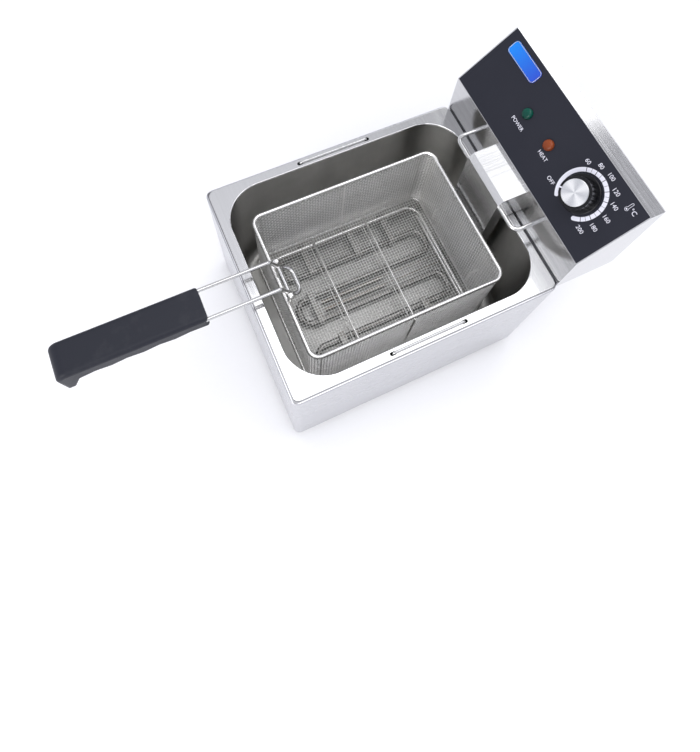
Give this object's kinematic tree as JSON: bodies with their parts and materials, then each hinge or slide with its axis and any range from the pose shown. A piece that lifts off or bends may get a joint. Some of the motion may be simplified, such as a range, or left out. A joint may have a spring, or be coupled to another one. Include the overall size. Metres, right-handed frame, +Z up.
{
  "type": "deep fryer",
  "caption": "Countertop electric deep fryer: steel casing, lift-out oil tank, rear control head with dial and lamps, wire mesh basket with grip handle.",
  "frame": {"origin": "on the table plane under the tank's rim centre, in the fryer's plane of symmetry", "axes": "+X right, +Y towards the control head at the back, +Z up"},
  "size_m": [0.271, 0.629, 0.331],
  "materials": {
    "amber_lens": "clear moulded",
    "badge": "gloss",
    "basket_mesh": "woven wire",
    "basket_wire": "bright nickel plated",
    "black_plastic": "matte",
    "bracket_steel": "mill finish",
    "brass_nut": "machined",
    "cap_silver": "spun",
    "case_steel": "satin brushed",
    "ceramic_block": "unglazed",
    "copper_bulb": "plated copper",
    "cover_steel": "satin",
    "cream_plastic": "moulded",
    "element_tube": "drawn tube",
    "fastener_steel": "plated",
    "foot_rubber": "matte",
    "gland_plastic": "moulded",
    "green_lens": "clear moulded",
    "grip_plastic": "satin moulded",
    "head_steel": "satin brushed",
    "knob_black": "gloss",
    "neck_steel": "bright",
    "panel_black": "satin black film",
    "red_plastic": "moulded",
    "tank_steel": "drawn and polished",
    "white_mark": "printed",
    "wire_insulation": "silicone rubber",
    "wire_steel": "bright drawn wire"
  },
  "bodies": {
    "casing": {"casing_shell": "case_steel", "base_plate": "cover_steel", "rubber_feet": "foot_rubber", "foot_screws": "fastener_steel", "foot_nuts": "fastener_steel", "head_rail": "bracket_steel", "rail_rivets": "bracket_steel", "locating_pins": "bracket_steel"},
    "tank": {"oil_tank": "tank_steel"},
    "pull_left": {"tank_handle_left": "wire_steel"},
    "pull_right": {"tank_handle_right": "wire_steel"},
    "head": {"head_housing": "head_steel", "control_panel": "panel_black", "name_badge": "badge", "power_lamp": "green_lens", "heat_lamp": "amber_lens", "lamp_nuts": "black_plastic", "thermostat_body": "cream_plastic", "thermostat_nut": "fastener_steel", "rear_cover": "cover_steel", "screw_blocks": "bracket_steel", "rear_screws": "fastener_steel", "bottom_cover": "cover_steel", "bottom_screws": "fastener_steel", "neck_cover": "neck_steel", "drain_wire": "wire_steel", "drain_wire_nuts": "fastener_steel", "heating_element": "element_tube", "element_nuts": "brass_nut", "element_terminals": "brass_nut", "element_clips": "element_tube", "thermostat_bulb": "copper_bulb", "cutout_bulb": "copper_bulb", "cutout_body": "black_plastic", "terminal_block": "ceramic_block", "terminal_screws": "brass_nut", "cable_gland": "gland_plastic", "gland_nut": "gland_plastic", "inner_wiring": "wire_insulation"},
    "dial": {"dial_shaft": "fastener_steel", "dial_knob": "knob_black", "dial_cap": "cap_silver", "dial_pointer": "white_mark"},
    "reset": {"reset_button": "red_plastic"},
    "basket": {"basket_rim": "basket_wire", "basket_mesh_front": "basket_mesh", "basket_mesh_rear": "basket_mesh", "basket_mesh_left": "basket_mesh", "basket_mesh_right": "basket_mesh", "basket_mesh_bottom": "basket_mesh", "basket_bottom_frame": "basket_wire", "basket_bottom_wires": "basket_wire", "basket_side_wires": "basket_wire", "basket_hooks": "basket_wire", "handle_posts": "basket_wire"},
    "handle": {"handle_wire": "wire_steel", "handle_grip": "grip_plastic"}
  },
  "joints": [
    {"name": "tank_lift", "type": "slide", "parent": "casing", "child": "tank", "axis": [0, 0, 1], "range_m": [0, 0.2]},
    {"name": "pull_left_lift", "type": "slide", "parent": "tank", "child": "pull_left", "axis": [0, 0, 1], "range_m": [0, 0.034]},
    {"name": "pull_right_lift", "type": "slide", "parent": "tank", "child": "pull_right", "axis": [0, 0, 1], "range_m": [0, 0.034]},
    {"name": "head_lift", "type": "slide", "parent": "tank", "child": "head", "axis": [0, 0, 1], "range_m": [0, 0.2]},
    {"name": "dial_turn", "type": "hinge", "parent": "head", "child": "dial", "pos_m": [0.071, 0.19428, 0.29968], "axis": [0, -0.7071, 0.7071], "range_deg": [-248, 0]},
    {"name": "reset_press", "type": "slide", "parent": "head", "child": "reset", "axis": [0, -1, 0], "range_m": [0, 0.002], "stiffness_N_per_m": 400},
    {"name": "basket_lift", "type": "slide", "parent": "head", "child": "basket", "axis": [0, -0.13, 0.9915], "range_m": [0, 0.2]},
    {"name": "handle_fold", "type": "hinge", "parent": "basket", "child": "handle", "pos_m": [0, -0.1195, 0.204], "axis": [1, 0, 0], "range_deg": [-30, 0]}
  ]
}
